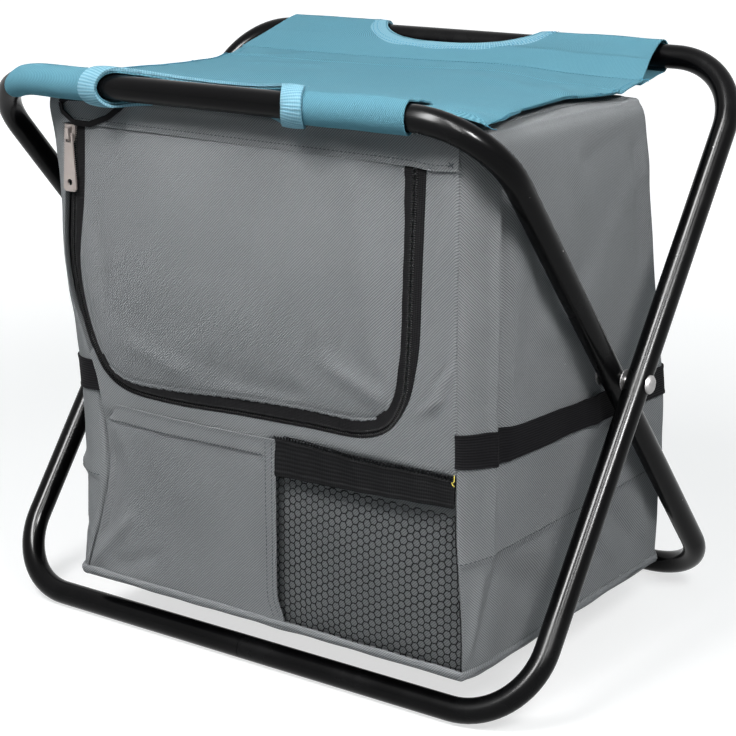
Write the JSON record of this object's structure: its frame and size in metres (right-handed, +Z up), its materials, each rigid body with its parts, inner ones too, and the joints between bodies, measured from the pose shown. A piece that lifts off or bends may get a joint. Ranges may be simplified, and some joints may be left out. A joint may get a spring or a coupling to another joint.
{
  "type": "folding cooler stool",
  "caption": "Folding stool of two crossed tube frames with a stretched cloth seat and an insulated zip-front bag hung between them.",
  "frame": {"origin": "on the ground, under the middle of the stool's footprint", "axes": "+Z up, -Y towards the side with the zipped door and the pockets, +X to the right of someone who faces the door"},
  "size_m": [0.4412, 0.342, 0.3894],
  "materials": {
    "black_tube": "gloss black powder coat",
    "plug_steel": "plain steel",
    "rivet_steel": "zinc plated, satin",
    "seat_blue": "coarse diagonal polyester weave",
    "binding_blue": "ribbed polyester binding tape",
    "bag_grey": "coarse diagonal polyester weave",
    "foil_lining": "silver foil face on closed foam",
    "black_webbing": "woven and knitted black tape",
    "zip_black": "woven zip tape with a nylon coil",
    "board_black": "stiff plastic board",
    "slider_nickel": "painted die-cast nickel tone"
  },
  "bodies": {
    "outer_frame": {"outer_frame_tube": "black_tube", "outer_frame_plug": "plug_steel", "rear_sleeve_left": "seat_blue", "rear_rim_left": "binding_blue", "rear_rim_right": "binding_blue", "rear_sleeve_right": "seat_blue", "pivot_rivet_left": "rivet_steel", "pivot_rivet_right": "rivet_steel", "pivot_washer_left": "rivet_steel", "pivot_washer_right": "rivet_steel", "seat_cloth": "seat_blue", "seat_front_rim": "binding_blue", "seat_rear_rim": "binding_blue"},
    "inner_frame": {"inner_frame_tube": "black_tube", "inner_frame_plug": "plug_steel", "front_sleeve_left": "seat_blue", "front_rim_left": "binding_blue", "front_rim_right": "binding_blue", "front_sleeve_right": "seat_blue"},
    "bag": {"bag_side_left": "bag_grey", "bag_side_right": "bag_grey", "side_foam_left": "foil_lining", "side_foam_right": "foil_lining", "side_strap_left": "black_webbing", "side_strap_right": "black_webbing", "bag_front": "bag_grey", "bag_front_band": "bag_grey", "bag_back": "bag_grey", "back_foam": "foil_lining", "bag_foot": "bag_grey", "foot_piping": "bag_grey", "foot_board": "board_black", "foot_foam": "foil_lining", "top_foam": "foil_lining", "bag_top": "bag_grey", "pocket_panel": "bag_grey", "pocket_net": "black_webbing", "net_elastic": "black_webbing", "tape_loop": "black_webbing", "zip_tape_bag": "zip_black", "zip_teeth_bag": "zip_black", "zip_tape_top": "zip_black", "zip_teeth_top": "zip_black"},
    "door": {"door_panel": "bag_grey", "door_foam": "foil_lining", "zip_tape_door": "zip_black", "zip_teeth_door": "zip_black"},
    "zip_slider": {"zip_slider": "slider_nickel"},
    "zip_pull_tab": {"zip_pull_tab": "slider_nickel"}
  },
  "joints": [
    {"name": "fold", "type": "hinge", "parent": "outer_frame", "child": "inner_frame", "pos_m": [0, -0.00185, 0.1921], "axis": [-1, 0, 0], "range_deg": [0, 70], "deforming": ["seat_cloth", "seat_front_rim", "seat_rear_rim"]},
    {"name": "bag_swing", "type": "hinge", "parent": "outer_frame", "child": "bag", "pos_m": [0, -0.00185, 0.1921], "axis": [-1, 0, 0], "range_deg": [0, 33]},
    {"name": "door_hinge", "type": "hinge", "parent": "bag", "child": "door", "pos_m": [0, -0.14825, 0.3436], "axis": [-1, 0, 0], "range_deg": [0, 80]},
    {"name": "slider_run", "type": "slide", "parent": "bag", "child": "zip_slider", "axis": [-0.045, 0, -0.999], "range_m": [0, 0.08]},
    {"name": "tab_swing", "type": "hinge", "parent": "zip_slider", "child": "zip_pull_tab", "pos_m": [-0.1254, -0.15185, 0.3352], "axis": [-1, 0, 0], "range_deg": [0, 110]}
  ],
  "couplings": [
    {"joint": "bag_swing", "follows": "fold", "ratio": 0.46}
  ]
}
